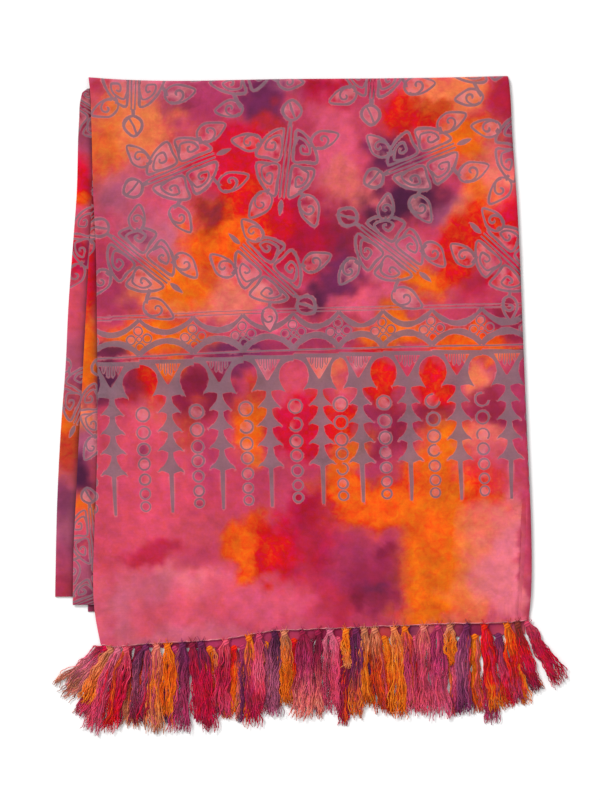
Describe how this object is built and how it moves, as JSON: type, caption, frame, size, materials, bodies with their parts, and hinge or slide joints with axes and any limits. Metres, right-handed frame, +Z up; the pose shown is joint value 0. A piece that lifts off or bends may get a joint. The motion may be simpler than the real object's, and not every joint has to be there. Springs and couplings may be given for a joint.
{
  "type": "folded sarong",
  "caption": "Fringed rayon batik sarong folded flat into a rectangle, with stepped back plies on one side and a row of knotted tassels along the hem.",
  "frame": {"origin": "on the plane that the folded cloth rests on, near the middle of the folded rectangle", "axes": "+Z up out of the cloth, +Y towards the edge folded across, -Y towards the fringe, +X towards the long fold"},
  "size_m": [0.6945, 0.8933, 0.0078],
  "materials": {
    "dyed_cloth": "matte",
    "dyed_cloth_underside": "matte",
    "yarn_tan": "matte",
    "yarn_orange": "matte",
    "yarn_coral": "matte",
    "yarn_crimson": "matte",
    "yarn_rose": "matte",
    "yarn_magenta": "matte",
    "yarn_maroon": "matte",
    "yarn_plum": "matte"
  },
  "bodies": {
    "root": {"front_panel": "dyed_cloth", "folded_layers": "dyed_cloth_underside", "tassel_01": "yarn_tan", "tassel_02": "yarn_tan", "tassel_03": "yarn_crimson", "tassel_04": "yarn_rose", "tassel_05": "yarn_crimson", "tassel_06": "yarn_maroon", "tassel_07": "yarn_tan", "tassel_08": "yarn_plum", "tassel_09": "yarn_coral", "tassel_10": "yarn_orange", "tassel_11": "yarn_magenta", "tassel_12": "yarn_plum", "tassel_13": "yarn_maroon", "tassel_14": "yarn_crimson", "tassel_15": "yarn_orange", "tassel_16": "yarn_maroon", "tassel_17": "yarn_coral", "tassel_18": "yarn_orange", "tassel_19": "yarn_plum", "tassel_20": "yarn_crimson", "tassel_21": "yarn_rose", "tassel_22": "yarn_orange", "tassel_23": "yarn_plum", "tassel_24": "yarn_tan", "tassel_25": "yarn_orange", "tassel_26": "yarn_magenta", "tassel_27": "yarn_maroon", "tassel_28": "yarn_rose", "tassel_29": "yarn_coral", "tassel_30": "yarn_orange", "tassel_31": "yarn_maroon", "tassel_32": "yarn_plum", "tassel_33": "yarn_tan", "tassel_34": "yarn_plum", "tassel_35": "yarn_orange", "tassel_36": "yarn_orange", "tassel_37": "yarn_orange", "tassel_38": "yarn_magenta", "tassel_39": "yarn_coral", "tassel_40": "yarn_coral", "tassel_41": "yarn_magenta", "tassel_42": "yarn_tan", "tassel_43": "yarn_magenta", "tassel_44": "yarn_plum", "tassel_45": "yarn_orange", "tassel_46": "yarn_orange", "tassel_47": "yarn_maroon", "tassel_48": "yarn_plum", "tassel_49": "yarn_orange", "tassel_50": "yarn_tan", "tassel_51": "yarn_crimson", "tassel_52": "yarn_rose"}
  },
  "joints": []
}
